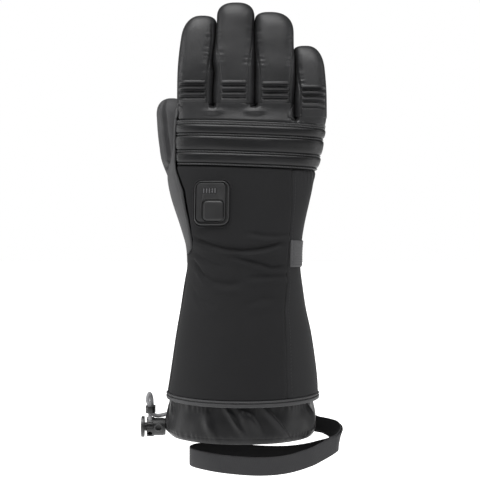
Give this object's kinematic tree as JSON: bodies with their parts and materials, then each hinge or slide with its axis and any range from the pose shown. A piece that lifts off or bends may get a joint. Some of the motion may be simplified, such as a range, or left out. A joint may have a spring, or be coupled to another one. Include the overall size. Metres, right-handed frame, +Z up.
{
  "type": "heated gauntlet glove",
  "caption": "Padded leather and softshell winter glove for the right hand, with a control on its back, a drawcord snow skirt with a spring lock, and a webbing wrist leash.",
  "frame": {"origin": "the middle of the wrist, inside the glove, where a wrist fills and holds it", "axes": "+Z up the fingers, -Y out of the back of the hand, +X towards the little finger, so the thumb is at -X"},
  "size_m": [0.1673, 0.094, 0.3814],
  "materials": {
    "upper_leather": "fine-grained black goat leather, satin",
    "channel_leather": "smooth padded leather, semi-gloss",
    "palm_leather": "grained palm leather, matt",
    "softshell": "stretch softshell, matt",
    "gusset_shell": "stretch softshell, matt, a shade lighter",
    "elastic_webbing": "ribbed grey elastic",
    "moulded_rubber": "soft-touch moulded rubber",
    "printed_mark": "grey light windows",
    "grey_binding": "grey piping and binding",
    "nylon": "thin coated nylon with a faint sheen",
    "webbing": "woven webbing",
    "elastic_cord": "braided grey elastic cord",
    "lock_plastic": "moulded black nylon plastic"
  },
  "bodies": {
    "root": {"finger_index": "upper_leather", "finger_middle": "upper_leather", "finger_ring": "upper_leather", "finger_little": "upper_leather", "thumb": "palm_leather", "hand_yoke": "upper_leather", "knuckle_panel": "channel_leather", "back_panel": "softshell", "side_gusset": "gusset_shell", "palm_panel": "palm_leather", "gauntlet_underside": "softshell", "wrist_band": "elastic_webbing", "control_pad": "moulded_rubber", "pad_welt": "softshell", "power_button": "moulded_rubber", "indicator_bar_1": "printed_mark", "indicator_bar_2": "printed_mark", "indicator_bar_3": "printed_mark", "indicator_bar_4": "printed_mark", "indicator_bar_5": "printed_mark", "cuff_trim": "grey_binding", "snow_skirt": "nylon", "leash_strap": "webbing", "cord_lock_barrel": "lock_plastic", "drawcord": "elastic_cord", "cord_clip": "lock_plastic"},
    "lock_plunger": {"cord_lock_plunger": "lock_plastic"}
  },
  "joints": [
    {"name": "lock_press", "type": "slide", "parent": "root", "child": "lock_plunger", "axis": [1, 0, 0], "range_m": [0, 0.002], "stiffness_N_per_m": 300}
  ]
}
